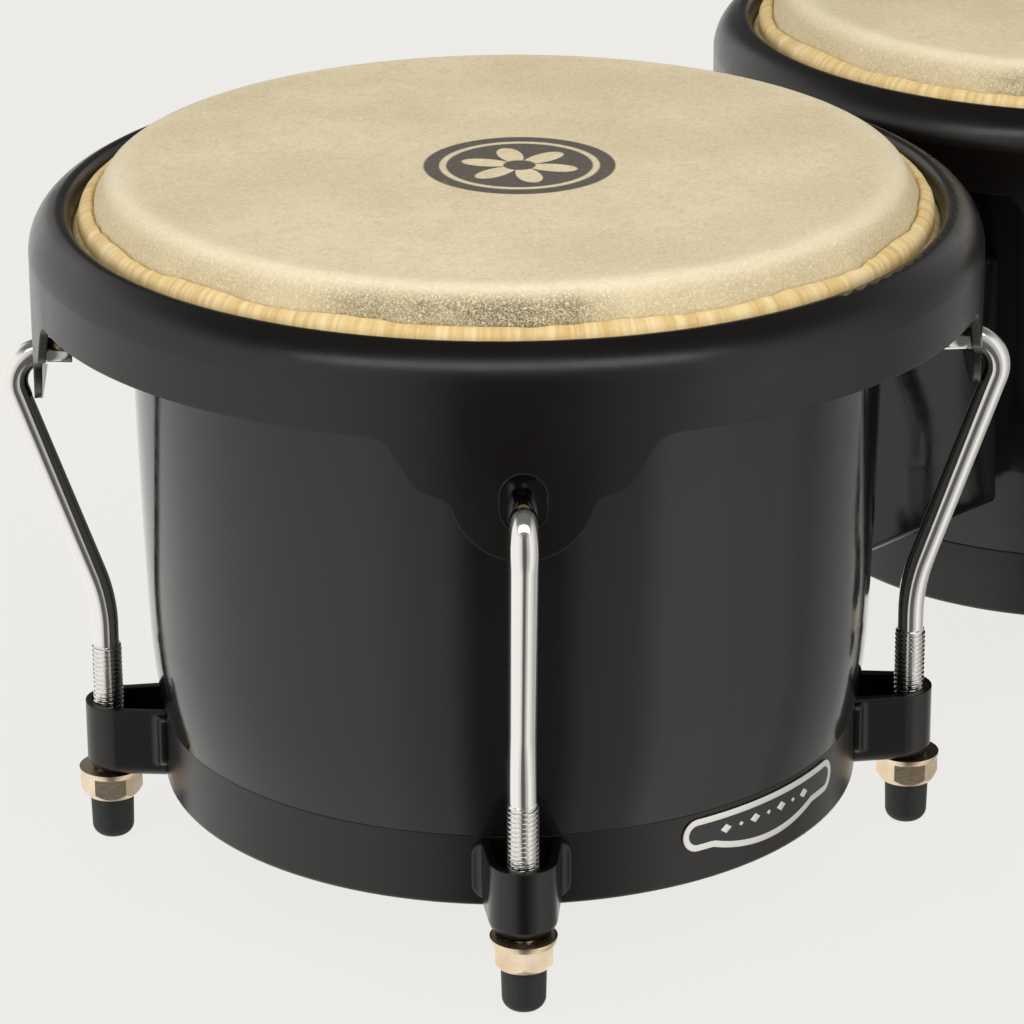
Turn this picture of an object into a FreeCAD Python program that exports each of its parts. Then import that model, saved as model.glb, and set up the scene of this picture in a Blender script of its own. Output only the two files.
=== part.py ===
"""Bongo drums: a larger hembra and a smaller macho drum, bolted to one centre block and tuned by hook rods.

Millimetres, +Z up. X runs from the hembra to the macho and Y across them. The origin is on the surface
that the eight rubber foot caps stand on, under the middle of the pair. Drum pieces are drawn about their
own drum's axis, with heights measured from the lower edge of the bottom ring and radii given as a distance
outside the shell's own radius, so one set of functions makes both drums. A lug piece is drawn at angle 0.
"""
import FreeCAD, Part
import math
import os

# The pair
HEMBRA_R = 95.25            # shell radius of a 7.5 inch drum
MACHO_R = 82.55             # shell radius of a 6.5 inch drum
AXIS_SPACING = 235.5
FOOT_Z = 20.0               # lower edge of the bottom rings above the ground
LUG_ANGLES = (-135, -45, 45, 135)
HEMBRA_TURN = 1.65          # the hembra's fittings stand this many degrees further round

# Shell
SHELL_TOP = 162.0
SHELL_FOOT = 2.0            # the shell stands on the bottom ring's flange
BEARING_EDGE = 5.5          # roundover of the upper edge
COLLAR = 5.25               # how far the shell steps out under the head
COLLAR_Z = (135.0, 142.0)
WALL = 6.0
BELLY = ((-0.08, 134.0), (-0.5, 103.0), (-2.25, 44.0))
TUCK = ((-3.2, 31.5), (-5.1, 19.1))
SPIGOT = (-12.2, -8.15)     # inner and outer face of the stretch inside the bottom ring

# Bottom ring
RING_TOP = 18.9
RING_FACE = (-5.2, -5.3)    # outer face at the lower edge and at the top
RING_SHEET = 2.0
RING_EDGE = 1.2
RING_FLANGE = -14.0

# Head and the flesh hoop that its skin is rolled round
SKIN = 1.2
HOOP_AT = (10.35, 147.0)
HOOP_WIRE = 2.4
ROLL = 3.6
HOOP_PLAY = 0.1
CREASE = (8.1, 155.4)       # where the skin meets its own fold
FOLD = ((10.95, 154.6), (12.05, 152.0))
FOLD_FOOT = 148.5
ROLL_SLIT = 0.6

# Rim
RIM_FACE = 24.75
RIM_LOW = 132.5
RIM_LIP = 148.4             # lower edge of the lip that bears on the head's roll
RIM_SHEET = 2.0
EAR_LOBE = 17.5
EAR_LOW = 103.0
EAR_HOLE = (11.0, 14.3, 117.65)   # width, height and middle

# Tuning rods
ROD_AT = 9.35
ROD_R = 3.4
THREAD_R = 3.95
THREAD_TOP = 35.0
ROD_END = -17.5
ROD_KNEE = (46.9, 45.0)     # height and radius of the lower bend
ROD_HOOK = (33.2, 115.0, 8.0)     # corner and radius of the upper bend
ROD_TIP = 15.25

# Lug brackets
BRACKET_FACE = 15.35
BRACKET_BEND = 8.5          # radius of the strap's round front
BRACKET_LEG = 10.2          # half the width across the legs at the ring
BRACKET_SHEET = 2.0
BRACKET_Z = (-0.4, 18.4)
BRACKET_EDGE = 3.4
BRACKET_HOLE = 4.4
TAB_WIDTH = 24.6
TAB_Z = (3.2, 18.0)
TAB_CORNER = 3.5
TAB_BEND = 2.2              # roundover between the legs and the tabs
TAB_EDGE = 0.8

# Tuning nuts and foot caps
NUT_TOP = -0.45
NUT_LOW = -8.1
NUT_FLATS = 14.0
NUT_FLANGE = (8.3, 1.4)     # radius and thickness
RUN = 0.05                  # radial clearance of a running fit
CAP_R = (5.45, 5.65)        # above the rounded foot and at the top
CAP_TOP = -8.2
CAP_FOOT = 3.2              # roundover of the foot

# Centre block and its bolts
BLOCK_HALF = 30.0
BLOCK_Z = (33.5, 108.5)
BLOCK_EDGE = 3.0
BOLT_HEIGHTS = (51.0, 91.0)
BOLT_R = 4.0
BOLT_HOLE = 4.3
BOLT_FLATS = 13.0
BOLT_HEAD = 5.3
BOLT_NUT = 6.5
BOLT_SPARE = 3.0
WASHER = (8.0, 1.6)
PLATE_AT = -13.75           # flat inner face of the backing plates
PLATE_HALF = 18.0
PLATE_Z = (41.0, 101.0)

# Badge
BADGE_LENGTH = 57.0
BADGE_Z = (5.4, 8.7, 17.5)  # bottom of the swell, lower edge at the ends, top
BADGE_SWELL = (-19.5, 17.5)
BADGE_THICK = 0.5
BADGE_ANGLE = -88.9

HEMBRA_X = -(AXIS_SPACING + MACHO_R - HEMBRA_R) / 2
MACHO_X = HEMBRA_X + AXIS_SPACING
UP = FreeCAD.Vector(0, 0, 1)
CENTRE = FreeCAD.Vector(0, 0, 0)
WIDE = 200.0                # longer than any piece, for cutting tools


# Drawing helpers

def edges(start, moves, at):
    """Edges from start on: a move of one point is a straight line, one of two is an arc through the first."""
    made = []
    for move in moves:
        if len(move) == 1:
            made.append(Part.LineSegment(at(start), at(move[0])).toShape())
        else:
            made.append(Part.Arc(at(start), at(move[0]), at(move[1])).toShape())
        start = move[-1]
    return made


def section(shell_r, start, *moves):
    """A closed half section in the XZ plane, as offsets from the shell's radius and heights."""
    def at(point):
        return FreeCAD.Vector(shell_r + point[0], 0, point[1])
    made = edges(start, moves, at)
    made.append(Part.LineSegment(at(moves[-1][-1]), at(start)).toShape())
    return Part.Face(Part.Wire(made))


def spun(face):
    return face.revolve(CENTRE, UP, 360)


def block(x, y, z):
    """A box between two x, two y and two z values."""
    size = (x[1] - x[0], y[1] - y[0], z[1] - z[0])
    return Part.makeBox(*size, FreeCAD.Vector(x[0], y[0], z[0]))


def rod(radius, low, high, x=0.0):
    return Part.makeCylinder(radius, high - low, FreeCAD.Vector(x, 0, low), UP)


def hexagon(across_flats, low, high, x=0.0):
    corner = across_flats / math.sqrt(3)
    points = [FreeCAD.Vector(x + corner * math.cos(math.radians(a)), corner * math.sin(math.radians(a)), low)
              for a in range(0, 361, 60)]
    return Part.Face(Part.makePolygon(points)).extrude(FreeCAD.Vector(0, 0, high - low))


def rounded_by(shape, radius, wanted):
    """Fillets every edge whose middle point is wanted."""
    return shape.makeFillet(radius, [e for e in shape.Edges if wanted(e.BoundBox.Center)])


def turned(shape, angle):
    return shape.rotated(CENTRE, UP, angle)


# Shell and bottom ring

def diagonal(centre, radius, degrees):
    """A point on a circle in the section plane."""
    angle = math.radians(degrees)
    return (centre[0] + radius * math.cos(angle), centre[1] + radius * math.sin(angle))


def tangent(centre, radius, point):
    """Where a line from point touches the upper side of a circle."""
    dx, dz = point[0] - centre[0], point[1] - centre[1]
    angle = math.acos(radius / math.hypot(dx, dz)) + math.atan2(dz, dx)
    return (centre[0] + radius * math.cos(angle), centre[1] + radius * math.sin(angle)), math.degrees(angle)


def make_shell(shell_r):
    edge = (COLLAR - BEARING_EDGE, SHELL_TOP - BEARING_EDGE)
    neck, middle, foot = BELLY
    return spun(section(
        shell_r, (edge[0], SHELL_TOP),
        (diagonal(edge, BEARING_EDGE, 45), (COLLAR, edge[1])),
        ((COLLAR, COLLAR_Z[1]),), ((neck[0], COLLAR_Z[0]),), (neck,),
        (middle, foot), TUCK,
        ((SPIGOT[1], TUCK[1][1]),), ((SPIGOT[1], SHELL_FOOT),), ((SPIGOT[0], SHELL_FOOT),),
        ((SPIGOT[0], TUCK[1][1]),), ((foot[0] - WALL, foot[1]),),
        ((middle[0] - WALL, middle[1]), (neck[0] - WALL, neck[1])),
        ((neck[0] - WALL, COLLAR_Z[0] + 2),), ((COLLAR - WALL, COLLAR_Z[1] + 2),),
        ((COLLAR - WALL, SHELL_TOP - 0.5),)))


def shell_filled(shell_r):
    """Everything inside the shell's outer face, up to the collar."""
    neck, middle, foot = BELLY
    return spun(section(shell_r, (-shell_r, neck[1]), (neck,), (middle, foot), TUCK, ((-shell_r, TUCK[1][1]),)))


def shell_hollow(shell_r):
    """Everything inside the shell's inner face, from the spigot to the collar."""
    neck, middle, foot = ((p[0] - WALL, p[1]) for p in BELLY)
    return spun(section(shell_r, (-shell_r, TUCK[1][1]), ((SPIGOT[0], TUCK[1][1]),), (foot,),
                        (middle, neck), ((-shell_r, neck[1]),)))


def make_bottom_ring(shell_r):
    edge = (RING_FACE[0] - RING_EDGE, RING_EDGE)
    flange_top = SHELL_FOOT - 0.1
    return spun(section(
        shell_r, (RING_FACE[1], RING_TOP), ((RING_FACE[0], RING_EDGE),),
        (diagonal(edge, RING_EDGE, -45), (edge[0], 0)),
        ((RING_FLANGE, 0),), ((RING_FLANGE, flange_top),),
        ((RING_FACE[0] - RING_SHEET, flange_top),), ((RING_FACE[1] - RING_SHEET, RING_TOP),)))


def ring_layer(shell_r, inside, outside, low, high):
    """A layer that follows the bottom ring's tapered outer face, between two distances from it."""
    slope = (RING_FACE[1] - RING_FACE[0]) / (RING_TOP - RING_EDGE)
    face = {z: RING_FACE[0] + slope * (z - RING_EDGE) for z in (low, high)}
    return spun(section(shell_r, (face[low] + inside, low), ((face[low] + outside, low),),
                        ((face[high] + outside, high),), ((face[high] + inside, high),)))


def strap(shell_r, inset, low, high):
    """A block with a round front, widening to the ring, set in by a distance from the bracket's outside."""
    radius, back = BRACKET_BEND - inset, -8.0
    middle = BRACKET_FACE - BRACKET_BEND
    (x, y), _ = tangent((-middle, 0), radius, (-back, BRACKET_LEG - inset))

    def at(point):
        return FreeCAD.Vector(shell_r + point[0], point[1], low)
    made = edges((back, BRACKET_LEG - inset), [((-x, y),), ((middle + radius, 0), (-x, -y)),
                                               ((back, inset - BRACKET_LEG),), ((back, BRACKET_LEG - inset),)], at)
    return Part.Face(Part.Wire(made)).extrude(FreeCAD.Vector(0, 0, high - low))


def make_bracket(shell_r):
    """A pressed strap with a bottom, open to the ring and at the top, that hangs on the ring by two tabs."""
    low, high = BRACKET_Z
    cup = rounded_by(strap(shell_r, 0, low, high), BRACKET_EDGE,
                     lambda c: c.z < low + 0.1 and c.x > shell_r - 7.9)
    pocket = rounded_by(strap(shell_r, BRACKET_SHEET, low + BRACKET_SHEET + 0.4, high + 9), BRACKET_EDGE / 2,
                        lambda c: c.z < high and c.x > shell_r - 7.9)
    tabs = block((0, WIDE), (-TAB_WIDTH / 2, TAB_WIDTH / 2), TAB_Z)
    tabs = rounded_by(tabs, TAB_CORNER, lambda c: abs(c.y) > TAB_WIDTH / 2 - 0.1 and abs(c.x - WIDE / 2) < 0.1)
    tabs = tabs.common(ring_layer(shell_r, -0.5, BRACKET_SHEET, 0, RING_TOP))
    hole = rod(BRACKET_HOLE, low - 5, high, shell_r + ROD_AT)
    inside_ring = ring_layer(shell_r, -shell_r / 2, 0, -1.0, high + 1.0)
    bracket = cup.fuse(tabs).cut(pocket).cut(hole).cut(inside_ring).removeSplitter().Solids[0]
    tab_middle, tab_edge, tab_back = sum(TAB_Z) / 2, TAB_WIDTH / 2 - 0.9, shell_r + RING_FACE[0] + 0.6
    bracket = rounded_by(bracket, TAB_BEND, lambda c: abs(c.z - tab_middle) < 0.05 and
                         abs(c.y) < tab_edge and c.x > tab_back)
    return rounded_by(bracket, TAB_EDGE, lambda c: abs(c.y) > tab_edge and c.x > tab_back)


# Head, flesh hoop and rim

def make_hoop(shell_r, wire=HOOP_WIRE):
    return Part.makeTorus(shell_r + HOOP_AT[0], wire, FreeCAD.Vector(0, 0, HOOP_AT[1]), UP)


def make_head(shell_r):
    """Skin drawn over the bearing edge, then folded at a crease and down round the flesh hoop."""
    edge = (COLLAR - BEARING_EDGE, SHELL_TOP - BEARING_EDGE)
    over, over_angle = tangent(edge, BEARING_EDGE + SKIN, CREASE)
    under = diagonal(edge, BEARING_EDGE, over_angle)
    buried = (CREASE[0] + under[0] - over[0], CREASE[1] + under[1] - over[1])
    top = SHELL_TOP + SKIN
    skin = spun(section(
        shell_r, (-shell_r, top), ((edge[0], top),),
        (diagonal(edge, BEARING_EDGE + SKIN, (90 + over_angle) / 2), over),
        (CREASE,), FOLD, ((FOLD[1][0], FOLD_FOOT),), ((buried[0], FOLD_FOOT),), (buried,), (under,),
        (diagonal(edge, BEARING_EDGE, (90 + over_angle) / 2), (edge[0], SHELL_TOP)),
        ((-shell_r, SHELL_TOP),)))
    roll = make_hoop(shell_r, ROLL)
    slit = spun(section(shell_r, (HOOP_AT[0] - ROLL - 1, HOOP_AT[1] - 2.5), ((HOOP_AT[0], HOOP_AT[1] - 0.2),),
                        ((HOOP_AT[0], HOOP_AT[1] + ROLL_SLIT - 0.2),),
                        ((HOOP_AT[0] - ROLL - 1, HOOP_AT[1] - 2.5 + ROLL_SLIT),)))
    return skin.fuse(roll).cut(make_hoop(shell_r, HOOP_WIRE + HOOP_PLAY)).cut(slit).removeSplitter().Solids[0]


def rim_band(shell_r):
    """The rolled rim: a deep skirt, a rounded crest and a lip turned down onto the head's roll."""
    face, back = RIM_FACE, RIM_FACE - RIM_SHEET
    return spun(section(
        shell_r, (face, RIM_LOW), ((face, 144.3),),
        ((22.45, 150.3), (17.95, 154.0)), ((16.65, 154.4), (15.4, 153.9)),
        ((14.2, 152.2), (13.75, 150.2)), ((13.75, RIM_LIP),), ((15.7, RIM_LIP),), ((15.7, 150.4),),
        ((16.2, 151.6), (17.3, 151.95)), ((20.8, 148.9), (back, 144.0)), ((back, RIM_LOW),)))


def ear_outline():
    """Half-widths and heights of an ear, from one side of the skirt round the lobe to the other."""
    lobe_end = 16.4
    side = [((38.0, RIM_LOW + 0.1), (33.2, 131.8), (30.4, 128.9)), ((26.6, 122.3),),
            ((25.3, 120.6), (23.2, 119.4)), ((20.0, 118.4),), ((17.6, 117.2), (lobe_end, 115.0))]
    return side, lobe_end


def make_ear(shell_r):
    """An ear of the skirt at angle 0, before its hole is cut."""
    side, lobe_end = ear_outline()

    def at(point):
        return FreeCAD.Vector(shell_r, point[0], point[1])
    right_start, right = side[0][0], [side[0][1:]] + side[1:]
    made = edges(right_start, right, at)
    made += edges((lobe_end, 115.0), [((0, EAR_LOW), (-lobe_end, 115.0))], at)
    made += [e.mirror(CENTRE, FreeCAD.Vector(0, 1, 0)) for e in edges(right_start, right, at)]
    top = RIM_LOW + 5
    made += edges(right_start, [((right_start[0], top),), ((-right_start[0], top),),
                                ((-right_start[0], right_start[1]),)], at)
    plate = Part.Face(Part.Wire(Part.sortEdges(made)[0])).extrude(FreeCAD.Vector(WIDE, 0, 0))
    skirt = spun(section(shell_r, (RIM_FACE, EAR_LOW - 5), ((RIM_FACE, top + 2),),
                         ((RIM_FACE - RIM_SHEET, top + 2),), ((RIM_FACE - RIM_SHEET, EAR_LOW - 5),)))
    return skirt.common(plate)


def ear_hole(shell_r):
    width, height, middle = EAR_HOLE
    radius, half = width / 2, (height - width) / 2
    cuts = [Part.makeCylinder(radius, WIDE, FreeCAD.Vector(shell_r, 0, middle + side * half),
                              FreeCAD.Vector(1, 0, 0)) for side in (-1, 1)]
    slot = block((shell_r, shell_r + WIDE), (-radius, radius), (middle - half, middle + half))
    return slot.fuse(cuts)


def make_rim(shell_r, angles):
    ear, hole = make_ear(shell_r), ear_hole(shell_r)
    rim = rim_band(shell_r).fuse([turned(ear, a) for a in angles])
    return rim.cut([turned(hole, a) for a in angles]).removeSplitter().Solids[0]


# Tuning rods, nuts and caps

def bent_path(corners, radii):
    """Straight runs in the XZ plane joined by tangent arcs at the inner corners."""
    points = [FreeCAD.Vector(x, 0, z) for x, z in corners]
    made, start = [], points[0]
    for before, corner, after, radius in zip(points, points[1:], points[2:], radii):
        back, ahead = (before - corner).normalize(), (after - corner).normalize()
        half = back.getAngle(ahead) / 2
        reach = radius / math.tan(half)
        middle = (back + ahead).normalize()
        arc = [corner + back * reach, corner + middle * (radius / math.sin(half) - radius), corner + ahead * reach]
        made.append(Part.LineSegment(start, arc[0]).toShape())
        made.append(Part.Arc(*arc).toShape())
        start = arc[2]
    made.append(Part.LineSegment(start, points[-1]).toShape())
    return Part.Wire(made)


def make_tuning_rod(shell_r):
    """A hook rod: bent end in the ear, slanted stem, and thread down through the bracket."""
    foot = shell_r + ROD_AT
    corners = [(foot, THREAD_TOP), (foot, ROD_KNEE[0]), (shell_r + ROD_HOOK[0], ROD_HOOK[1]),
               (shell_r + ROD_TIP, ROD_HOOK[1] - 0.4)]
    path = bent_path(corners, (ROD_KNEE[1], ROD_HOOK[2]))
    circle = Part.Wire(Part.makeCircle(ROD_R, FreeCAD.Vector(foot, 0, THREAD_TOP), UP))
    stem = path.makePipeShell([circle], True, True)
    thread = rod(THREAD_R, ROD_END, THREAD_TOP + 0.01, foot)
    thread = thread.makeChamfer(0.6, [e for e in thread.Edges if abs(e.BoundBox.ZMax - e.BoundBox.ZMin) < 0.01])
    return stem.fuse(thread).removeSplitter().Solids[0]


def make_tuning_nut(shell_r):
    """A flanged hexagon nut, its lower corners turned off at 30 degrees."""
    centre = shell_r + ROD_AT
    radius, thick = NUT_FLANGE
    corner = NUT_FLATS / math.sqrt(3)
    turned_down = Part.makeCone(NUT_FLATS / 2 - 0.3, corner + 4, 7.0, FreeCAD.Vector(centre, 0, NUT_LOW), UP)
    body = hexagon(NUT_FLATS, NUT_LOW, NUT_TOP - 0.5, centre).common(turned_down.fuse(
        rod(corner + 1, NUT_LOW + 2.6, NUT_TOP, centre)))
    flange = rod(radius, NUT_TOP - thick + 0.8, NUT_TOP, centre).fuse(
        Part.makeCone(corner, radius, 0.8, FreeCAD.Vector(centre, 0, NUT_TOP - thick), UP))
    return body.fuse(flange).cut(rod(THREAD_R + RUN, NUT_LOW - 1, NUT_TOP + 1, centre)).removeSplitter().Solids[0]


def make_foot_cap(shell_r):
    """A slightly tapered rubber cap pressed on the rod's end, with a rounded foot and a flat that it stands on."""
    bore, lip = THREAD_R + RUN, 0.6
    low, high = CAP_R
    foot = (low - CAP_FOOT, CAP_FOOT - FOOT_Z)
    cap = section(0, (bore, CAP_TOP), ((high - lip, CAP_TOP),),
                  (diagonal((high - lip, CAP_TOP - lip), lip, 45), (high, CAP_TOP - lip)), ((low, foot[1]),),
                  (diagonal(foot, CAP_FOOT, -45), (foot[0], -FOOT_Z)),
                  ((0, -FOOT_Z),), ((0, ROD_END - 0.1),), ((bore, ROD_END - 0.1),))
    return spun(cap).translated(FreeCAD.Vector(shell_r + ROD_AT, 0, 0))


# Centre block, its bolts and the badge, in the object's own frame

def across(radius, x0, x1, z):
    return Part.makeCylinder(radius, x1 - x0, FreeCAD.Vector(x0, 0, z), FreeCAD.Vector(1, 0, 0))


def bolt_holes():
    return [across(BOLT_HOLE, HEMBRA_X + 40, MACHO_X - 30, FOOT_Z + z) for z in BOLT_HEIGHTS]


def at_drum(shape, x):
    return shape.translated(FreeCAD.Vector(x, 0, FOOT_Z))


def make_centre_block():
    low, high = (FOOT_Z + z for z in BLOCK_Z)
    body = block((HEMBRA_X + HEMBRA_R / 2, MACHO_X - MACHO_R / 2), (-BLOCK_HALF, BLOCK_HALF), (low, high))
    body = rounded_by(body, BLOCK_EDGE, lambda c: abs(c.y) > BLOCK_HALF - 0.1 and not low + 1 < c.z < high - 1)
    shells = [at_drum(shell_filled(HEMBRA_R), HEMBRA_X), at_drum(shell_filled(MACHO_R), MACHO_X)]
    bevels = [Part.makeCone(r - 1, r + 1, 2, FreeCAD.Vector(x, 0, high - 1.4), UP)
              for r, x in ((HEMBRA_R, HEMBRA_X), (MACHO_R, MACHO_X))]
    return body.cut(shells).cut(bevels).cut(bolt_holes()).Solids[0]


def make_backing_plate(shell_r, x, side):
    """A saddle inside a shell: curved to the wall, flat where the bolts bear."""
    faces = sorted((side * (shell_r + PLATE_AT), side * shell_r))
    plate = block(faces, (-PLATE_HALF, PLATE_HALF), PLATE_Z)
    plate = rounded_by(plate, 5.0, lambda c: abs(c.y) > PLATE_HALF - 0.1 and
                       (abs(c.z - PLATE_Z[0]) < 0.1 or abs(c.z - PLATE_Z[1]) < 0.1))
    return at_drum(plate.common(shell_hollow(shell_r)), x).cut(bolt_holes())


def on_x(shape, x, z):
    """Turns a piece made along Z so that it points along +X, and puts it at x and z."""
    return shape.rotated(CENTRE, FreeCAD.Vector(0, 1, 0), 90).translated(FreeCAD.Vector(x, 0, FOOT_Z + z))


def bolt_faces():
    """The two flat faces that the washers sit on."""
    return HEMBRA_X + HEMBRA_R + PLATE_AT, MACHO_X - MACHO_R - PLATE_AT


def make_centre_bolt(z):
    first, last = bolt_faces()
    washer = WASHER[1]
    head_low = -washer - BOLT_HEAD
    length = last - first + washer + BOLT_NUT + BOLT_SPARE
    chamfer = Part.makeCone(BOLT_FLATS / 2 - 0.3, BOLT_FLATS / 2 + 6, 6.0, FreeCAD.Vector(0, 0, head_low), UP)
    head = hexagon(BOLT_FLATS, head_low, -washer).common(chamfer)
    shank = rod(BOLT_R, -washer, length)
    shank = shank.makeChamfer(0.8, [e for e in shank.Edges if e.BoundBox.ZMin > length - 0.01])
    return on_x(head.fuse(shank).removeSplitter(), first, z)


def make_centre_nuts():
    last = bolt_faces()[1] + WASHER[1]
    nut = hexagon(BOLT_FLATS, 0, BOLT_NUT).common(
        Part.makeCone(BOLT_FLATS / 2 + 6, BOLT_FLATS / 2 - 0.3, BOLT_NUT, CENTRE, UP))
    nut = nut.cut(rod(BOLT_R, -1, BOLT_NUT + 1))
    return Part.Compound([on_x(nut, last, z) for z in BOLT_HEIGHTS])


def make_centre_washers():
    radius, thick = WASHER
    washer = rod(radius, 0, thick).cut(rod(BOLT_HOLE, -1, thick + 1))
    first, last = bolt_faces()
    return Part.Compound([on_x(washer, x, z) for z in BOLT_HEIGHTS for x in (first - thick, last)])


def make_badge():
    """A thin plate with rounded ends and a swelling lower edge, bent round the hembra's bottom ring."""
    bottom, low, high = BADGE_Z
    radius = (high - low) / 2
    end, middle = BADGE_LENGTH / 2 - radius, low + radius

    def at(point):
        return FreeCAD.Vector(0, point[0], point[1])
    outline = edges((-end, high), [((end, high),), ((end + radius, middle), (end, low)), ((BADGE_SWELL[1], low),),
                                   ((sum(BADGE_SWELL) / 2, bottom), (BADGE_SWELL[0], low)), ((-end, low),),
                                   ((-end - radius, middle), (-end, high))], at)
    blank = Part.Face(Part.Wire(outline)).extrude(FreeCAD.Vector(WIDE, 0, 0))
    plate = ring_layer(HEMBRA_R, 0, BADGE_THICK, bottom - 1, high + 1).common(blank)
    return at_drum(turned(plate, BADGE_ANGLE), HEMBRA_X)


def save(name, shape):
    solids = shape.Solids
    volume = sum(s.Volume for s in solids)
    print(f"{name}: {len(solids)} solid(s), valid {shape.isValid()}, {volume / 1000:.2f} cm3")
    shape.exportStep(f"parts/{name}.step")


def save_drum(name, shell_r, x, angles):
    save(f"{name}_shell", at_drum(make_shell(shell_r), x).cut(bolt_holes()))
    save(f"{name}_bottom_ring", at_drum(make_bottom_ring(shell_r), x))
    save(f"{name}_head", at_drum(make_head(shell_r), x))
    save(f"{name}_flesh_hoop", at_drum(make_hoop(shell_r), x))
    save(f"{name}_rim", at_drum(make_rim(shell_r, angles), x))
    bracket = make_bracket(shell_r)
    save(f"{name}_lug_brackets", Part.Compound([at_drum(turned(bracket, a), x) for a in angles]))
    pieces = {"tuning_rod": make_tuning_rod(shell_r), "tuning_nut": make_tuning_nut(shell_r),
              "foot_cap": make_foot_cap(shell_r)}
    for number, angle in enumerate(angles, 1):
        for piece, shape in pieces.items():
            save(f"{name}_{piece}_{number}", at_drum(turned(shape, angle), x))


def main():
    os.makedirs("parts", exist_ok=True)
    save_drum("hembra", HEMBRA_R, HEMBRA_X, [angle + HEMBRA_TURN for angle in LUG_ANGLES])
    save_drum("macho", MACHO_R, MACHO_X, LUG_ANGLES)
    save("centre_block", make_centre_block())
    save("hembra_backing_plate", make_backing_plate(HEMBRA_R, HEMBRA_X, 1))
    save("macho_backing_plate", make_backing_plate(MACHO_R, MACHO_X, -1))
    for place, height in zip(("lower", "upper"), BOLT_HEIGHTS):
        save(f"centre_bolt_{place}", make_centre_bolt(height))
    save("centre_washers", make_centre_washers())
    save("centre_nuts", make_centre_nuts())
    save("hembra_badge", make_badge())


main()
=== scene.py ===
"""Looks of the bongo drums: rawhide heads, threaded rods, badge, finishes, studio light and camera.

Metres, in the CAD frame. Drum pieces are drawn about their own drum's axis, with heights above the lower
edge of the bottom ring and radii as a distance outside the shell's radius, which is how the drums are built.
"""
import math

import bpy
import numpy as np
from mathutils import Matrix, Vector


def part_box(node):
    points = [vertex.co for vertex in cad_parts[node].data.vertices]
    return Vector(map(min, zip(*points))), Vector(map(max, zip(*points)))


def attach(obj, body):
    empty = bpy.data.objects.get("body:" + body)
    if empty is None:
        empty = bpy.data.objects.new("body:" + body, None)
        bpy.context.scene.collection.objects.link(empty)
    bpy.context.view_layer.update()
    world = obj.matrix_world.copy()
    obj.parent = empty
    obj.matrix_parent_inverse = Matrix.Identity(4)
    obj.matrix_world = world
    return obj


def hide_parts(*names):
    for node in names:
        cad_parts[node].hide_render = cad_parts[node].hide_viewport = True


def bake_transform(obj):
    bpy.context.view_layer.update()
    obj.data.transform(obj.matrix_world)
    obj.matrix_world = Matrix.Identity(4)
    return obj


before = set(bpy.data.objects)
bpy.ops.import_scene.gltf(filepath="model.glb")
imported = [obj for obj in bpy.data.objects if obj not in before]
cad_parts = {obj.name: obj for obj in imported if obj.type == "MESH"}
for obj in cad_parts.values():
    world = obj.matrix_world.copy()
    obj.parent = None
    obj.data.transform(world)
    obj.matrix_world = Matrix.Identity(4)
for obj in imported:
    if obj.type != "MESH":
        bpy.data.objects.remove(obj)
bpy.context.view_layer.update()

MM = 0.001
DRUMS = ("hembra", "macho")
LUG_ANGLES = (-135, -45, 45, 135)
LUG_TURN = {"hembra": 1.65, "macho": 0}
GROUND_TO_RING = 20 * MM
COLLAR = 5.25 * MM          # how far the shell's collar stands out from its radius
TURN = 2 * math.pi


# Where the drums stand, read from the frame

def drum_place(drum):
    """The drum's axis point at the lower edge of its ring, and its shell's radius."""
    low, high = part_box(f"{drum}_shell")
    middle = (low + high) / 2
    return Vector((middle.x, 0, GROUND_TO_RING)), (high.y - low.y) / 2 - COLLAR


# Mesh building

def make_object(name, points, faces, smooth=True):
    mesh = bpy.data.meshes.new(name)
    mesh.from_pydata([tuple(p) for p in points], [], faces)
    mesh.update()
    mesh.polygons.foreach_set("use_smooth", [smooth] * len(mesh.polygons))
    made = bpy.data.objects.new(name, mesh)
    bpy.context.scene.collection.objects.link(made)
    return made


def grid_faces(rows, columns, wrap_rows=False):
    """Quads of a grid of points whose columns close round on themselves."""
    row_pairs = [(j, (j + 1) % rows) for j in range(rows if wrap_rows else rows - 1)]
    column_pairs = [(i, (i + 1) % columns) for i in range(columns)]
    return [(a * columns + i, a * columns + k, b * columns + k, b * columns + i)
            for a, b in row_pairs for i, k in column_pairs]


def waves(angle, low, high, seed):
    """A smooth random curve round a circle: unit-sized waves of low to high cycles a turn."""
    random = np.random.RandomState(seed)
    counts = np.arange(low, high)
    phases = random.uniform(0, TURN, len(counts))
    sizes = random.normal(0, 1, len(counts))
    sizes /= np.sqrt((sizes ** 2).sum() / 2)
    return (sizes * np.sin(np.multiply.outer(angle, counts) + phases)).sum(-1)


# Heads

SKIN = 1.2 * MM
BEARING_RADIUS = 5.5 * MM
BEARING_TOP = 162 * MM
HOOP_OUT, HOOP_HEIGHT = 10.35 * MM, 147 * MM
ROLL_RADIUS = 3.6 * MM
ROLL_BORE = 2.55 * MM
CREASE_OUT, CREASE_HEIGHT = 8.1 * MM, 155.4 * MM
FOLD_OUT, FOLD_HEIGHT, FOLD_RADIUS = 8.717 * MM, 152.123 * MM, 3.335 * MM
NOTCH = ((-0.28, 0.45), (-0.1, -0.1), (-0.02, -0.9), (0.08, -1.4), (0.24, -0.9), (0.42, -0.3))
CENTRE_HOLE = 0.5 * MM      # the section starts this far from the middle, which a fan closes
HEAD_TURNS = 900            # columns of the head's mesh
CREASE_WANDER, CREASE_RIPPLE = 0.24 * MM, 0.07 * MM
PLEATS, LUMPS, DIMPLES = 0.04 * MM, 0.07 * MM, 0.10 * MM
WANDER_LIMIT, PLEAT_LIMITS = 1.2 * MM, (-0.5 * MM, 0.33 * MM)
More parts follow.
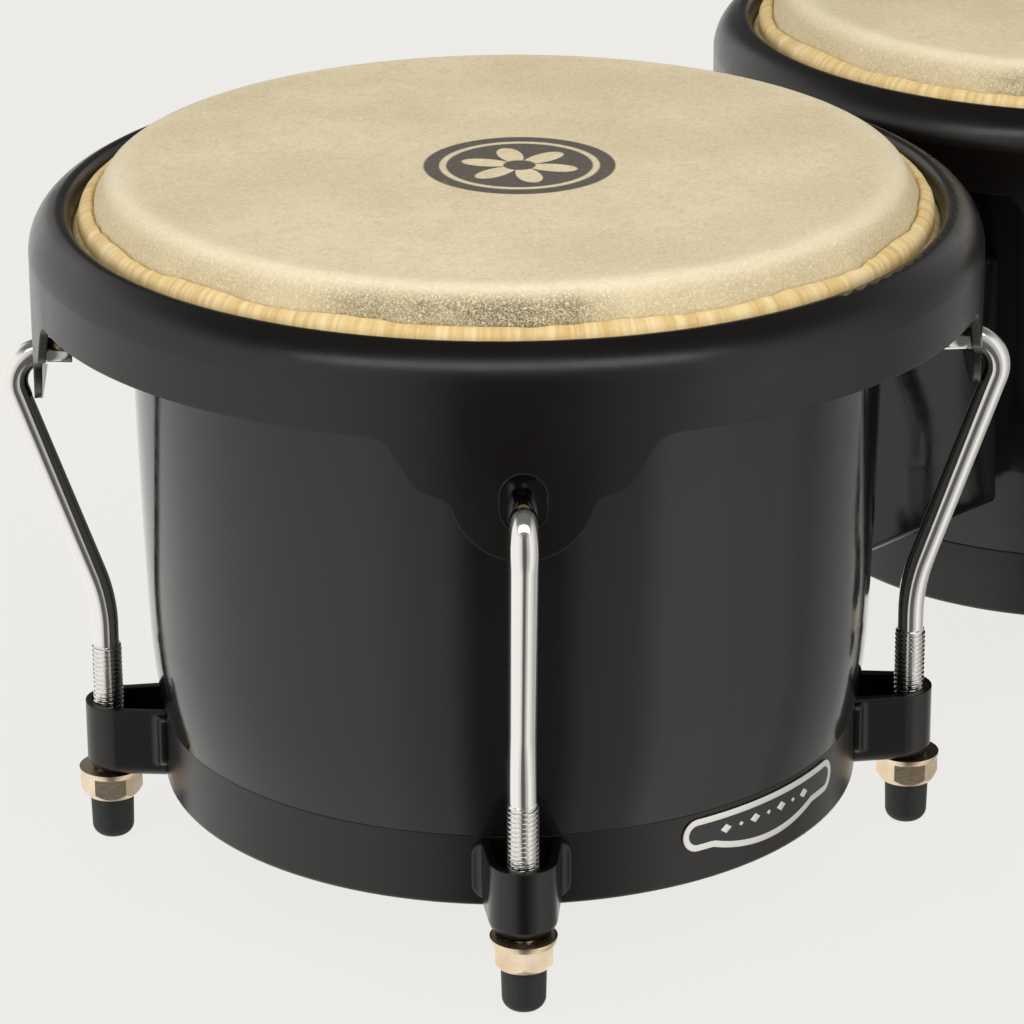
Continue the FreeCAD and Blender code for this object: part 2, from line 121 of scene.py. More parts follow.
CREASE_SLOPE = 0.75         # how far a crease that wanders outwards drops with it


def arc(centre, radius, first, last, count):
    """Points along an arc in the section plane, angles in degrees."""
    a = np.radians(np.linspace(first, last, count))
    return np.stack([centre[0] + radius * np.cos(a), centre[1] + radius * np.sin(a)], 1)


def line(first, last, count):
    return np.linspace(first, last, count)


def shares(kind, count):
    """A share for each of a stretch's points: the same for all, or growing, fading or swelling along it."""
    ramps = {"grow": lambda n: np.linspace(0, 1, n) ** 2, "fade": lambda n: np.linspace(1, 0, n) ** 1.5,
             "swell": lambda n: np.sin(np.linspace(0.15, 1, n) * math.pi / 2)}
    return ramps[kind](count) if kind in ramps else np.full(count, float(kind))


def head_section(shell_r):
    """The skin's section: over the edge, into the crease, down the fold, round the hoop and back below.
    Gives radii and heights, the hoop's place, three shares for each point, of the crease's wander, of the
    roll's wrinkles and of the skin's puckers, and the range of rows that are the roll."""
    edge = np.array([shell_r + COLLAR - BEARING_RADIUS, BEARING_TOP - BEARING_RADIUS])
    hoop = np.array([shell_r + HOOP_OUT, HOOP_HEIGHT])
    crease = np.array([shell_r + CREASE_OUT, CREASE_HEIGHT])
    fold = np.array([shell_r + FOLD_OUT, FOLD_HEIGHT])
    reach = crease - edge
    outer = BEARING_RADIUS + SKIN
    lean = math.acos(outer / np.hypot(*reach)) + math.atan2(reach[1], reach[0])
    normal = np.array([math.cos(lean), math.sin(lean)])
    over, under = edge + outer * normal, edge + BEARING_RADIUS * normal
    buried = crease + under - over
    top, side = BEARING_TOP + SKIN, fold[0] + FOLD_RADIUS
    parts = [
        (line((CENTRE_HOLE, top), (edge[0], top), 46)[:-1], 0, 0, 0),
        (arc(edge, outer, 90, math.degrees(lean), 14)[:-1], 0, 0, 0),
        (line(over, crease + [-0.35 * MM, 0.6 * MM], 16)[:-1], "grow", 0, "grow"),
        (crease + MM * np.array(NOTCH), 1, 0, 1),
        (arc(fold, FOLD_RADIUS, 86, 0, 16), "fade", "swell", 0),
        (line((side, fold[1] - 0.5 * MM), (side, hoop[1] + 3.4 * MM), 5), 0, 1, 0),
        (arc(hoop, ROLL_RADIUS, 60, 25, 9), 0, "fade", 0),
        (arc(hoop, ROLL_RADIUS, 15, -155, 24), 0, 0, 0),
        (arc(hoop, ROLL_BORE, -158, 190, 34), 0, 0, 0),
        (arc(hoop, ROLL_RADIUS, 193, 158, 6), 0, 0, 0),
        (line((buried[0], hoop[1] + 2.2 * MM), buried, 7), 0, 0, 0),
        (line(buried, under, 7)[1:], 0, 0, 0),
        (arc(edge, BEARING_RADIUS, math.degrees(lean), 90, 10)[1:], 0, 0, 0),
        (line((edge[0], BEARING_TOP), (CENTRE_HOLE, BEARING_TOP), 14)[1:], 0, 0, 0)]
    section = np.concatenate([p[0] for p in parts])
    wander, wrinkle, pucker = (np.concatenate([shares(p[k], len(p[0])) for p in parts]) for k in (1, 2, 3))
    before_crease, to_roll_end = parts[:3], parts[:10]
    first_rolled = sum(len(p[0]) for p in before_crease) + 2    # the notch's first two points are on the skin
    last_rolled = sum(len(p[0]) for p in to_roll_end)
    return section, hoop, wander, wrinkle, pucker, range(first_rolled, last_rolled)


def make_head(drum, seed):
    """Rawhide: a flat playing area, rounded over the bearing edge and creased at its wrinkled roll."""
    place, shell_r = drum_place(drum)
    section, hoop, wander, wrinkle, pucker, rolled = head_section(shell_r)
    angle = np.linspace(0, TURN, HEAD_TURNS, endpoint=False)
    crease_shift = CREASE_WANDER * waves(angle, 3, 22, seed) + CREASE_RIPPLE * waves(angle, 22, 90, seed + 1)
    pleats = PLEATS * waves(angle, 60, 190, seed + 2) + LUMPS * waves(angle, 12, 40, seed + 3)
    dimples = DIMPLES * waves(angle, 12, 60, seed + 4)
    away = section - hoop
    away = away / np.linalg.norm(away, axis=1)[:, None]
    shift = np.outer(wander, np.clip(crease_shift, -WANDER_LIMIT, WANDER_LIMIT))
    fold = np.outer(wrinkle, np.clip(pleats, *PLEAT_LIMITS))
    radius = section[:, :1] + shift + fold * away[:, :1]
    height = section[:, 1:] - CREASE_SLOPE * shift + fold * away[:, 1:] + np.outer(pucker, dimples)
    x, y = radius * np.cos(angle), radius * np.sin(angle)
    points = np.stack([x + place.x, y, height + place.z], -1).reshape(-1, 3)
    rows = len(section)
    faces = grid_faces(rows, HEAD_TURNS)
    centre_top, centre_under = len(points), len(points) + 1
    middles = [[place.x, 0, place.z + section[row, 1]] for row in (0, -1)]
    points = np.concatenate([points, middles])
    last = (rows - 1) * HEAD_TURNS
    for i in range(HEAD_TURNS):
        after = (i + 1) % HEAD_TURNS
        faces.append((centre_top, after, i))
        faces.append((centre_under, last + i, last + after))
    head = make_object(f"{drum}_skin", points, [f[::-1] for f in faces])
    head.data.materials.append(rawhide(drum, place, shell_r))
    head.data.materials.append(rolled_hide(drum, place))
    is_rolled = [int(min(f) // HEAD_TURNS in rolled) for f in faces]
    head.data.polygons.foreach_set("material_index", is_rolled)
    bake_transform(head)
    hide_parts(f"{drum}_head")


# Tuning rods

ROD_OUT = 9.35 * MM
STEM_RADIUS = 3.4 * MM
THREAD_CREST, THREAD_ROOT = 3.95 * MM, 3.2 * MM
THREAD_PITCH = 1.25 * MM
THREAD_TOP, THREAD_SHOWN_TO, ROD_END = 35 * MM, 8 * MM, -17.5 * MM
KNEE_HEIGHT, KNEE_RADIUS = 46.9 * MM, 45 * MM
HOOK_OUT, HOOK_HEIGHT, HOOK_RADIUS = 33.2 * MM, 115 * MM, 8 * MM
TIP_OUT, TIP_DROP = 15.25 * MM, 0.4 * MM
ROD_SIDES = 40
ROWS_A_PITCH = 10


def bent_line(corners, radii, steps):
    """Points along straight runs joined by tangent arcs, in the XZ plane."""
    corners = [np.array(c) for c in corners]
    path = [corners[0]]
    for before, corner, after, radius, count in zip(corners, corners[1:], corners[2:], radii, steps):
        back, ahead = before - corner, after - corner
        back, ahead = back / np.linalg.norm(back), ahead / np.linalg.norm(ahead)
        half = math.acos(np.dot(back, ahead)) / 2
        middle = (back + ahead) / np.linalg.norm(back + ahead)
        centre = corner + middle * radius / math.sin(half)
        first = corner + back * radius / math.tan(half) - centre
        last = corner + ahead * radius / math.tan(half) - centre
        turn = math.acos(np.dot(first, last) / radius ** 2)
        for t in np.linspace(0, 1, count):
            swung = math.sin((1 - t) * turn) * first + math.sin(t * turn) * last
            path.append(centre + swung / math.sin(turn))
    path.append(corners[-1])
    return np.array(path)


def thread_rows():
    """Heights up the thread, and a function that gives its radius at a height and an angle."""
    count = int((THREAD_TOP - THREAD_SHOWN_TO) / THREAD_PITCH * ROWS_A_PITCH)
    heights = np.linspace(THREAD_SHOWN_TO, THREAD_TOP, count)

    def radius(height, angle):
        turn = (height / THREAD_PITCH - angle / TURN) % 1
        tooth = np.clip(1.5 - 4 * np.abs(turn - 0.5), 0, 1)
        cut = THREAD_ROOT + (THREAD_CREST - THREAD_ROOT) * tooth
        fade = np.clip((THREAD_TOP - height) / (1.2 * THREAD_PITCH), 0, 1)
        return STEM_RADIUS + (cut - STEM_RADIUS) * fade
    return heights, radius


def rod_mesh():
    """One rod at the origin, its thread's axis on Z and its hook towards -X, as points and faces."""
    angle = np.linspace(0, TURN, ROD_SIDES, endpoint=False)
    heights, thread_radius = thread_rows()
    low_end = [(ROD_END, 2.9 * MM), (ROD_END + 0.6 * MM, 3.5 * MM), (THREAD_SHOWN_TO - 0.3 * MM, 3.5 * MM)]
    rows = [((0, h), (0, 1), np.full(ROD_SIDES, r)) for h, r in low_end]
    rows += [((0, h), (0, 1), thread_radius(h, angle)) for h in heights]
    corners = [(0, THREAD_TOP + 0.3 * MM), (0, KNEE_HEIGHT), (HOOK_OUT - ROD_OUT, HOOK_HEIGHT),
               (TIP_OUT - ROD_OUT, HOOK_HEIGHT - TIP_DROP)]
    path = bent_line(corners, (KNEE_RADIUS, HOOK_RADIUS), (14, 30))
    along = np.gradient(path, axis=0)
    along[0], along[-1] = (0, 1), path[-1] - path[-2]
    along /= np.linalg.norm(along, axis=1)[:, None]
    rows += [(p, t, np.full(ROD_SIDES, STEM_RADIUS)) for p, t in zip(path, along)]
    tip, way = path[-1], along[-1]
    rows += [(tip + way * 0.35 * MM, way, np.full(ROD_SIDES, STEM_RADIUS - 0.35 * MM)),
             (tip + way * 0.4 * MM, way, np.full(ROD_SIDES, STEM_RADIUS - 0.6 * MM))]
    points = []
    for (x, z), (tx, tz), radius in rows:
        out = radius * np.cos(angle)
        points.append(np.stack([x + tz * out, radius * np.sin(angle), z - tx * out], -1))
    points = np.concatenate(points)
    faces = grid_faces(len(rows), ROD_SIDES)
    first, last = tuple(range(ROD_SIDES))[::-1], tuple(range(len(points) - ROD_SIDES, len(points)))
    return points, faces + [first, last]


def make_rods():
    points, faces = rod_mesh()
    shared = make_object("rod", points, faces)
    shared.data.materials.append(chrome())
    sharp_edges(shared, 50)
    for drum in DRUMS:
        place, shell_r = drum_place(drum)
        for number, lug in enumerate(LUG_ANGLES, 1):
            rod = bpy.data.objects.new(f"{drum}_threaded_rod_{number}", shared.data)
            bpy.context.scene.collection.objects.link(rod)
            out = Matrix.Translation((shell_r + ROD_OUT, 0, 0))
            turn = Matrix.Rotation(math.radians(lug + LUG_TURN[drum]), 4, "Z")
            rod.matrix_world = Matrix.Translation(place) @ turn @ out
            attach(rod, f"{drum}_tuning_set")
            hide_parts(f"{drum}_tuning_rod_{number}")
    bpy.data.objects.remove(shared)


def sharp_edges(obj, degrees):
    """Keeps shading smooth except across edges that turn more than this."""
    obj.data.set_sharp_from_angle(angle=math.radians(degrees))


# Badge

RING_FACE_LOW, RING_FACE_HIGH = (-5.2 * MM, 1.2 * MM), (-5.3 * MM, 18.9 * MM)
BADGE_END, BADGE_CORNER = 28.5 * MM, 4.4 * MM
BADGE_BOTTOM, BADGE_LOW, BADGE_HIGH = 5.4 * MM, 8.7 * MM, 17.5 * MM
BADGE_SWELL = (-19.5 * MM, 17.5 * MM)
BADGE_THICK = 0.4 * MM
BADGE_ANGLE = -88.9
MARK_HEIGHT = 12.7 * MM
MARK_ROW = (-15.5, 13.5, 7)              # first and last lozenge along the badge in millimetres, and how many
BIG_MARK, SMALL_MARK = (1.75, 1.25), (0.8, 0.6)
BORDER = ((0.1, -0.05), (0.12, 0.05), (0.3, 0.1), (1.6, 0.1), (1.78, 0.05), (1.8, -0.05))   # inset and height


def on_ring(shell_r, along, height, proud):
    """A point on the bottom ring's face, at arc length along it from the badge's middle."""
    share = (height - RING_FACE_LOW[1]) / (RING_FACE_HIGH[1] - RING_FACE_LOW[1])
    radius = shell_r + RING_FACE_LOW[0] + share * (RING_FACE_HIGH[0] - RING_FACE_LOW[0]) + proud
    angle = math.radians(BADGE_ANGLE) + along / (shell_r + RING_FACE_HIGH[0])
    return np.array([radius * math.cos(angle), radius * math.sin(angle), height])


def swell(along):
    """Height of the badge's lower edge."""
    middle, half = sum(BADGE_SWELL) / 2, (BADGE_SWELL[1] - BADGE_SWELL[0]) / 2
    drop = BADGE_LOW - BADGE_BOTTOM
    radius = (half ** 2 + drop ** 2) / (2 * drop)
    reach = np.minimum(np.abs(along - middle), half)
    return BADGE_BOTTOM + radius - np.sqrt(radius ** 2 - reach ** 2)


def badge_outline(inset):
    """Points round the badge, from its right end over the top, drawn in from its edge."""
    straight = np.linspace(BADGE_END - BADGE_CORNER, BADGE_CORNER - BADGE_END, 61)
    middle = BADGE_LOW + BADGE_CORNER
    right, left = (BADGE_END - BADGE_CORNER, middle), (BADGE_CORNER - BADGE_END, middle)
    outline = np.concatenate([
        arc(right, BADGE_CORNER, 4, 86, 12), np.stack([straight, np.full(61, BADGE_HIGH)], 1),
        arc(left, BADGE_CORNER, 94, 266, 24), np.stack([straight[::-1], swell(straight[::-1])], 1),
        arc(right, BADGE_CORNER, 274, 356, 12)])
    way = np.roll(outline, -1, 0) - np.roll(outline, 1, 0)
    way /= np.linalg.norm(way, axis=1)[:, None]
    return outline + inset * np.stack([-way[:, 1], way[:, 0]], 1)


def relief(name, layers, material, closed):
    """A piece on the ring's face, from nested outlines of equal length, each with its own height."""
    place, shell_r = drum_place("hembra")
    points = [Vector(on_ring(shell_r, u, v, proud)) + place for outline, proud in layers for u, v in outline]
    count, rows = len(layers[0][0]), len(layers)
    faces = grid_faces(rows, count, wrap_rows=not closed)
    if closed:
        faces += fan_faces(0, count, False) + fan_faces((rows - 1) * count, count, True)
    piece = make_object(name, points, faces)
    piece.data.materials.append(material)
    sharp_edges(piece, 25)
    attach(piece, "root")
    return piece


def fan_faces(start, count, outward):
    """Closes an outline with quads between its upper and its lower half."""
    last = start + count - 1
    quads = [(start + i, start + i + 1, last - 1 - i, last - i) for i in range(count // 2 - 1)]
    return quads if outward else [q[::-1] for q in quads]


def make_badge():
    """A black plate with a raised bright border and a row of lozenges."""
    plate = relief("badge_plate", [(badge_outline(0), 0), (badge_outline(0), BADGE_THICK - 0.1 * MM),
                                   (badge_outline(0.1 * MM), BADGE_THICK)], badge_black(), True)
    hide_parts("hembra_badge")
    rails = [(badge_outline(inset * MM), BADGE_THICK + proud * MM) for inset, proud in BORDER]
    relief("badge_border", rails, badge_bright(), False)
    angle = np.linspace(0, TURN, 4, False)
    for number, along in enumerate(np.linspace(*MARK_ROW) * MM, 1):
        size = BIG_MARK if number % 2 else SMALL_MARK
        corners = np.stack([size[0] * np.cos(angle), size[1] * np.sin(angle)], 1) * MM
        at = (along, MARK_HEIGHT)
        layers = [(corners * share + at, BADGE_THICK + proud * MM)
                  for share, proud in ((1, -0.05), (1, 0.05), (0.88, 0.1))]
        relief(f"badge_lozenge_{number}", layers, badge_bright(), True)


# Materials

class Nodes:
    """A material's node tree, with short calls to add nodes and link them."""

    def __init__(self, name):
        self.material = bpy.data.materials.new(name)
        self.material.use_nodes = True
        self.tree = self.material.node_tree
        self.surface = self.tree.nodes["Principled BSDF"]

    def add(self, kind, inputs=(), **settings):
        """A node, its settings, and its inputs by name or number: values, or sockets to link."""
        made = self.tree.nodes.new(kind)
        for key, value in settings.items():
            setattr(made, key, value)
        for key, value in dict(inputs).items():
            self.put(made, key, value)
        return made

    def put(self, node, key, value):
        if isinstance(value, bpy.types.NodeSocket):
            self.tree.links.new(value, node.inputs[key])
        else:
            node.inputs[key].default_value = value

    def finish(self, **inputs):
        for key, value in inputs.items():
            self.put(self.surface, key.replace("_", " "), value)
        return self.material

    def place(self, centre=(0, 0, 0), scale=(1, 1, 1)):
        """Object coordinates measured from a point."""
        coordinates = self.add("ShaderNodeTexCoord").outputs["Object"]
        offset = [-c * s for c, s in zip(centre, scale)]
        inputs = {"Vector": coordinates, "Location": offset, "Scale": scale}
        return self.add("ShaderNodeMapping", inputs).outputs[0]

    def noise(self, where, scale, detail=4, rough=0.55, **more):
        inputs = {"Vector": where, "Scale": scale, "Detail": detail, "Roughness": rough, **more}
        return self.add("ShaderNodeTexNoise", inputs).outputs[0]

    def math(self, operation, a, b=0.0, c=0.0, clamp=False):
        return self.add("ShaderNodeMath", {0: a, 1: b, 2: c}, operation=operation, use_clamp=clamp).outputs[0]

    def ramp(self, value, low, high, to_low=0.0, to_high=1.0):
        """Value from low..high, eased and clamped, to to_low..to_high."""
        inputs = {"Value": value, "From Min": low, "From Max": high, "To Min": to_low, "To Max": to_high}
        return self.add("ShaderNodeMapRange", inputs, interpolation_type="SMOOTHSTEP").outputs[0]

    def mix(self, share, a, b):
        made = self.add("ShaderNodeMix", {0: share}, data_type="RGBA")
        self.put(made, 6, a)
        self.put(made, 7, b)
        return made.outputs[2]

    def bump(self, height, strength, distance, normal=None):
        inputs = {"Height": height, "Strength": strength, "Distance": distance}
        if normal is not None:
            inputs["Normal"] = normal
        return self.add("ShaderNodeBump", inputs).outputs[0]


def shade(red, green, blue):
    return (red, green, blue, 1.0)


def once(make):
    """A material that is made at its first use and shared after."""
    made = {}

    def get():
        if "it" not in made:
            made["it"] = make()
        return made["it"]
    return get


EMBLEM_RADIUS = 24 * MM
EMBLEM_AT = (-0.6 * MM, -5.3 * MM)
HAIRY = (-0.766, -0.643)                 # the way that the dark hair faces


def emblem_mask(n, across, along, radius):
    """1 where dark ink lies: a disc with a six-petal flower and a thin ring left bare."""
    angle = n.math("ARCTAN2", along, across)
    petal = n.math("ABSOLUTE", n.math("COSINE", n.math("MULTIPLY", angle, 3.0)))
    petal_reach = n.math("MULTIPLY_ADD", petal, 0.50 * EMBLEM_RADIUS, 0.12 * EMBLEM_RADIUS)
    soft = 0.35 * MM
    inside = n.ramp(n.math("SUBTRACT", EMBLEM_RADIUS, radius), -soft, soft)
    flower = n.ramp(n.math("SUBTRACT", petal_reach, radius), -soft, soft)
    heart = n.ramp(n.math("SUBTRACT", 0.17 * EMBLEM_RADIUS, radius), -soft, soft)
    ring_away = n.math("ABSOLUTE", n.math("SUBTRACT", radius, 0.80 * EMBLEM_RADIUS))
    ring = n.ramp(n.math("SUBTRACT", 0.035 * EMBLEM_RADIUS, ring_away), -soft, soft)
    bare = n.math("MAXIMUM", n.math("SUBTRACT", flower, heart), ring)
    return n.math("MULTIPLY", inside, n.math("SUBTRACT", 1.0, bare))


def rawhide(drum, place, shell_r):
    """Buffalo skin: mottled cream with a painted highlight over the bearing edge, pale hairs on its shoulder
    and dark ones where it faces HAIRY.
    """
    n = Nodes(f"{drum}_rawhide")
    where = n.place(place)
    x, y, _ = n.add("ShaderNodeSeparateXYZ", {0: where}).outputs
    radius = n.math("SQRT", n.math("ADD", n.math("MULTIPLY", x, x), n.math("MULTIPLY", y, y)))
    clouds = n.noise(where, 22.0, 5, 0.6)
    blotches = n.noise(where, 90.0, 6, 0.65, Distortion=0.6)
    grain = n.noise(where, 900.0, 5, 0.7)
    flecks = n.noise(where, 330.0, 6, 0.75, Distortion=1.2)
    hairs = n.noise(where, 2100.0, 3, 0.7, Distortion=0.7)
    pale_hairs = n.noise(where, 1500.0, 3, 0.65, Distortion=1.4)
    cream = n.mix(n.ramp(clouds, 0.35, 0.68), shade(0.655, 0.541, 0.343), shade(0.73, 0.624, 0.423))
    cream = n.mix(n.ramp(blotches, 0.42, 0.72, 0, 0.4), cream, shade(0.60, 0.475, 0.263))
    cream = n.mix(n.ramp(flecks, 0.46, 0.64, 0, 0.55), cream, shade(0.57, 0.45, 0.25))
    cream = n.mix(n.ramp(grain, 0.44, 0.68, 0, 0.5), cream, shade(0.82, 0.75, 0.58))
    # Painted highlight: a smooth paler band over the bearing edge, where light catches the rounded skin.
    painted_edge_highlight = n.math("MULTIPLY", n.ramp(radius, shell_r - 4 * MM, shell_r + 2 * MM),
                  n.ramp(radius, shell_r + 8 * MM, shell_r + 4 * MM))
    cream = n.mix(n.math("MULTIPLY", painted_edge_highlight, 0.35), cream, shade(0.81, 0.73, 0.54))
    shoulder = n.ramp(radius, shell_r + 2.5 * MM, shell_r + 6.5 * MM)
    cream = n.mix(n.math("MULTIPLY", shoulder, 0.5), cream, shade(0.70, 0.55, 0.29))
    towards = n.math("ADD", n.math("MULTIPLY", x, HAIRY[0]), n.math("MULTIPLY", y, HAIRY[1]))
    facing = n.math("DIVIDE", towards, radius)
    patches = n.ramp(n.noise(where, 60.0, 3, 0.6), 0.36, 0.60, 0.68, 1.0)
    dark = n.math("MULTIPLY", n.ramp(facing, 0.925, 0.985, 0.28, 1.0), patches)
    dark = n.math("MULTIPLY", n.math("MULTIPLY", dark, shoulder), n.ramp(hairs, 0.34, 0.54, 0, 0.95))
    cream = n.mix(dark, cream, shade(0.110, 0.085, 0.040))
    light = n.math("MULTIPLY", n.ramp(radius, shell_r - 1 * MM, shell_r + 4 * MM),
                   n.ramp(pale_hairs, 0.50, 0.66, 0, 0.6))
    cream = n.mix(light, cream, shade(0.84, 0.76, 0.54))
    if drum == "hembra":
        across, along = (n.math("SUBTRACT", value, at) for value, at in zip((x, y), EMBLEM_AT))
        square = n.math("ADD", n.math("MULTIPLY", across, across), n.math("MULTIPLY", along, along))
        away = n.math("SQRT", square)
        worn = n.ramp(n.noise(where, 700.0, 4, 0.7), 0.25, 0.42, 0.6, 1.0)
        printed = n.math("MULTIPLY", emblem_mask(n, across, along, away), worn)
        cream = n.mix(printed, cream, shade(0.105, 0.092, 0.075))
    fine = n.bump(grain, 0.3, 0.1 * MM)
    rough = n.bump(n.math("MULTIPLY", hairs, n.math("ADD", shoulder, 0.15)), 0.5, 0.45 * MM, fine)
    hide_depth(n)
    return n.finish(Base_Color=cream, Roughness=n.ramp(clouds, 0.3, 0.7, 0.50, 0.64), Normal=rough)


def rolled_hide(drum, place):
    """The skin rolled round the flesh hoop: amber to cream, with faint streaks across the roll."""
    n = Nodes(f"{drum}_rolled_hide")
    where = n.place(place)
    x, y, z = n.add("ShaderNodeSeparateXYZ", {0: where}).outputs
    angle = n.math("ARCTAN2", y, x)
    round_about = n.add("ShaderNodeCombineXYZ", {0: n.math("MULTIPLY", n.math("COSINE", angle), 0.1),
                                                 1: n.math("MULTIPLY", n.math("SINE", angle), 0.1),
                                                 2: n.math("MULTIPLY", z, 0.06)}).outputs[0]
    streaks = n.noise(round_about, 420.0, 5, 0.7)
    bands = n.noise(round_about, 70.0, 3, 0.5)
    grain = n.noise(where, 700.0, 5, 0.65)
    amber = n.mix(n.ramp(streaks, 0.35, 0.68), shade(0.62, 0.41, 0.15), shade(0.80, 0.63, 0.33))
    amber = n.mix(n.ramp(bands, 0.52, 0.72, 0, 0.5), amber, shade(0.82, 0.69, 0.43))
    amber = n.mix(n.ramp(grain, 0.45, 0.75, 0, 0.25), amber, shade(0.84, 0.71, 0.43))
    hide_depth(n)
    return n.finish(Base_Color=amber, Roughness=n.ramp(grain, 0.3, 0.7, 0.44, 0.6),
                    Normal=n.bump(streaks, 0.25, 0.3 * MM, n.bump(grain, 0.25, 0.12 * MM)))


def hide_depth(n):
    """Lets a little light into the skin."""
    n.surface.inputs["Subsurface Weight"].default_value = 0.08
    n.surface.inputs["Subsurface Radius"].default_value = (0.004, 0.0022, 0.001)


def black_moulding(name):
    """Glossy black ABS with the faint ripple of a moulded wall."""
    n = Nodes(name)
    where = n.place()
    ripple = n.noise(where, 28.0, 2, 0.4)
    haze = n.noise(where, 260.0, 4, 0.6)
    n.surface.inputs["IOR"].default_value = 1.5
    return n.finish(Base_Color=shade(0.006, 0.006, 0.0062), Roughness=n.ramp(haze, 0.3, 0.7, 0.075, 0.13),
                    Normal=n.bump(ripple, 0.12, 0.3 * MM))


@once
def powder_coat():
    """Satin black powder coat with its fine pebble, on edges that catch the light as if rounded."""
    n = Nodes("powder_coat")
    where = n.place()
    pebble = n.noise(where, 1500.0, 3, 0.6)
    eased = n.add("ShaderNodeBevel", {"Radius": 0.7 * MM}, samples=4).outputs[0]
    cloud = n.noise(where, 45.0, 4, 0.6)
    return n.finish(Base_Color=shade(0.0024, 0.0015, 0.0009), Roughness=n.ramp(cloud, 0.3, 0.7, 0.25, 0.33),
                    Normal=n.bump(pebble, 0.18, 0.08 * MM, eased))


@once
def chrome():
    n = Nodes("chrome")
    where = n.place()
    drawn = n.noise(where, 190.0, 3, 0.55)
    speck = n.noise(where, 2200.0, 3, 0.6)
    return n.finish(Base_Color=shade(0.86, 0.85, 0.82), Metallic=1.0,
                    Roughness=n.ramp(speck, 0.35, 0.75, 0.10, 0.18),
                    Normal=n.bump(drawn, 0.08, 0.12 * MM))


@once
def champagne():
    """Pale gold plate of the tuning nuts."""
    n = Nodes("champagne_plate")
    where = n.place()
    tint = n.noise(where, 160.0, 4, 0.6)
    brush = n.noise(n.place(scale=(1, 1, 12)), 420.0, 4, 0.6)
    colour = n.mix(n.ramp(tint, 0.3, 0.7), shade(0.80, 0.62, 0.42), shade(0.90, 0.76, 0.58))
    return n.finish(Base_Color=colour, Metallic=1.0, Roughness=n.ramp(brush, 0.3, 0.7, 0.22, 0.36),
                    Normal=n.bump(brush, 0.1, 0.05 * MM))


@once
def rubber():
    n = Nodes("cap_rubber")
    where = n.place()
    dust = n.noise(where, 900.0, 4, 0.6)
    colour = n.mix(n.ramp(dust, 0.5, 0.8), shade(0.010, 0.010, 0.010), shade(0.022, 0.022, 0.021))
    return n.finish(Base_Color=colour, Roughness=0.62, Normal=n.bump(dust, 0.2, 0.06 * MM))


@once
def zinc():
    n = Nodes("bright_zinc")
    where = n.place()
    spangle = n.noise(where, 300.0, 5, 0.6)
    colour = n.mix(n.ramp(spangle, 0.3, 0.7), shade(0.55, 0.56, 0.58), shade(0.72, 0.73, 0.76))
    return n.finish(Base_Color=colour, Metallic=1.0, Roughness=n.ramp(spangle, 0.3, 0.7, 0.25, 0.42))


@once
def drawn_steel():
    n = Nodes("drawn_steel")
    scratch = n.noise(n.place(), 800.0, 4, 0.6)
    return n.finish(Base_Color=shade(0.45, 0.45, 0.45), Metallic=1.0,
                    Roughness=n.ramp(scratch, 0.3, 0.7, 0.3, 0.5))


@once
def badge_black():
    n = Nodes("badge_black")
    fleck = n.noise(n.place(), 600.0, 4, 0.6)
    return n.finish(Base_Color=shade(0.012, 0.012, 0.012), Roughness=n.ramp(fleck, 0.3, 0.7, 0.18, 0.28))


@once
def badge_bright():
    n = Nodes("badge_bright")
    brush = n.noise(n.place(), 900.0, 4, 0.6)
    return n.finish(Base_Color=shade(0.80, 0.79, 0.75), Metallic=0.8,
                    Roughness=n.ramp(brush, 0.3, 0.7, 0.26, 0.4))


def dress_cad():
    """Gives each carried-over CAD node its finish."""
    moulding = {"shell": black_moulding("shell_abs"), "block": black_moulding("block_abs")}
    endings = {"_shell": moulding["shell"], "centre_block": moulding["block"], "_bottom_ring": powder_coat(),
               "_rim": powder_coat(), "_lug_brackets": powder_coat(), "_flesh_hoop": drawn_steel(),
               "_backing_plate": zinc(), "centre_washers": zinc(), "centre_nuts": zinc(),
               "centre_bolt_lower": zinc(), "centre_bolt_upper": zinc()}
    middles = {"tuning_nut": champagne(), "foot_cap": rubber()}
    for name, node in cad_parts.items():
        found = [m for ending, m in endings.items() if name.endswith(ending)]
        found += [m for middle, m in middles.items() if middle in name]
        if found:
            node.data.materials.clear()
            node.data.materials.append(found[0])


# Studio

CAMERA_SIDE = math.radians(45)
VIEW_HEADING = CAMERA_SIDE - 0.0008         # the way the camera looks, from +X towards +Y
VIEW_DOWN = 0.3731
VIEW_ROLL = 0.0063
CAMERA_BACK, CAMERA_UP = 1.1462, 0.5173     # from the hembra's axis and its ring's lower edge
LENS, SENSOR = 168.05, 36.0
FLOOR_SIZE = 8.0
FLOOR_GLOW = 0.955
CEILING = 0.16              # brightness of the studio overhead
# The walls fade from WALL_TOP upwards, as sines of elevation: high up to the first angle from the camera's
# back, and below the horizon from the second angle on, behind the drums
WALL_TOP = (math.radians(140), math.radians(166), 0.42, -0.22)
WALL_FADE = 0.34
# Brightness of the walls by degrees round from the camera's back
WALLS = ((-48, 1.0), (-22, 0.7), (-9, 0.10), (14, 0.12), (26, 0.48), (38, 0.55), (52, 1.0), (65, 0.95),
         (77, 0.8), (91, 0.66), (106, 0.42), (130, 0.5), (160, 1.0))


